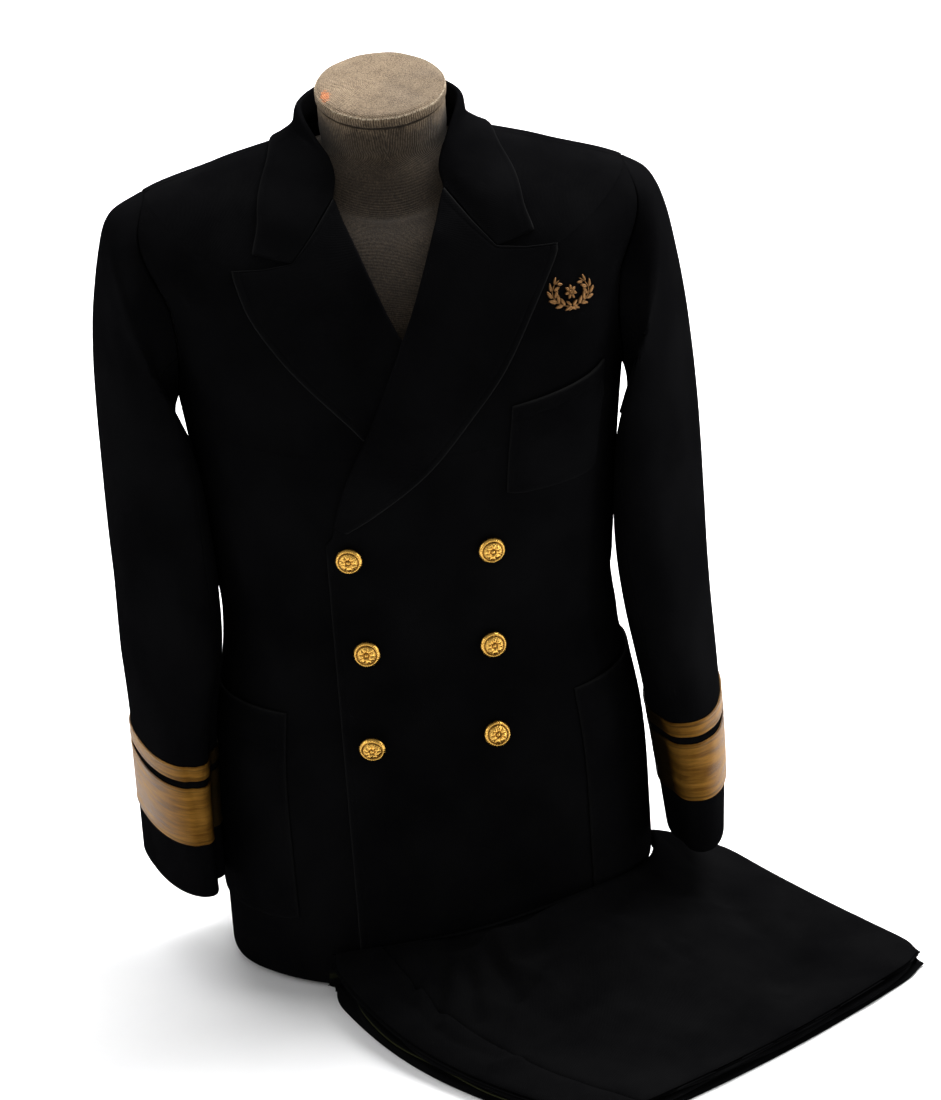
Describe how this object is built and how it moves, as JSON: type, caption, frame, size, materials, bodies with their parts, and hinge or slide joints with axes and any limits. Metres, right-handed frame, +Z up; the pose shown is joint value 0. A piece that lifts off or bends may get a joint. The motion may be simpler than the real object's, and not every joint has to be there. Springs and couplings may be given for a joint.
{
  "type": "dress uniform on dress form",
  "caption": "Double-breasted dress jacket with peak lapels, gilt buttons and gold cuff lace on a limbless dress form, with its folded trousers in front.",
  "frame": {"origin": "middle of the dress form's flat base, on the floor", "axes": "+Z up, the jacket faces -Y, the wearer's left is +X"},
  "size_m": [0.6583, 0.571, 0.76],
  "materials": {
    "navy_wool": "dark navy wool barathea, soft matt nap",
    "trouser_wool": "dark navy wool, smooth matt",
    "gold_lace": "woven gold lace, a little tarnished",
    "bullion": "gold bullion thread",
    "gilt": "gilt, polished",
    "form_knit": "heathered grey-brown jersey, matt"
  },
  "bodies": {
    "root": {"right_front": "navy_wool", "left_front": "navy_wool", "right_back": "navy_wool", "left_back": "navy_wool", "right_lapel": "navy_wool", "left_lapel": "navy_wool", "collar": "navy_wool", "right_top_sleeve": "navy_wool", "right_under_sleeve": "navy_wool", "left_top_sleeve": "navy_wool", "left_under_sleeve": "navy_wool", "breast_pocket": "navy_wool", "right_lower_pocket": "navy_wool", "left_lower_pocket": "navy_wool", "right_wide_lace": "gold_lace", "right_narrow_lace": "gold_lace", "left_wide_lace": "gold_lace", "left_narrow_lace": "gold_lace", "button_right_top": "gilt", "button_left_top": "gilt", "button_right_middle": "gilt", "button_left_middle": "gilt", "button_right_bottom": "gilt", "button_left_bottom": "gilt", "badge": "bullion", "form_torso": "form_knit", "form_neck_cap": "form_knit", "trousers_folded_legs": "trouser_wool", "trousers_front": "trouser_wool", "trousers_waistband": "trouser_wool"}
  },
  "joints": []
}
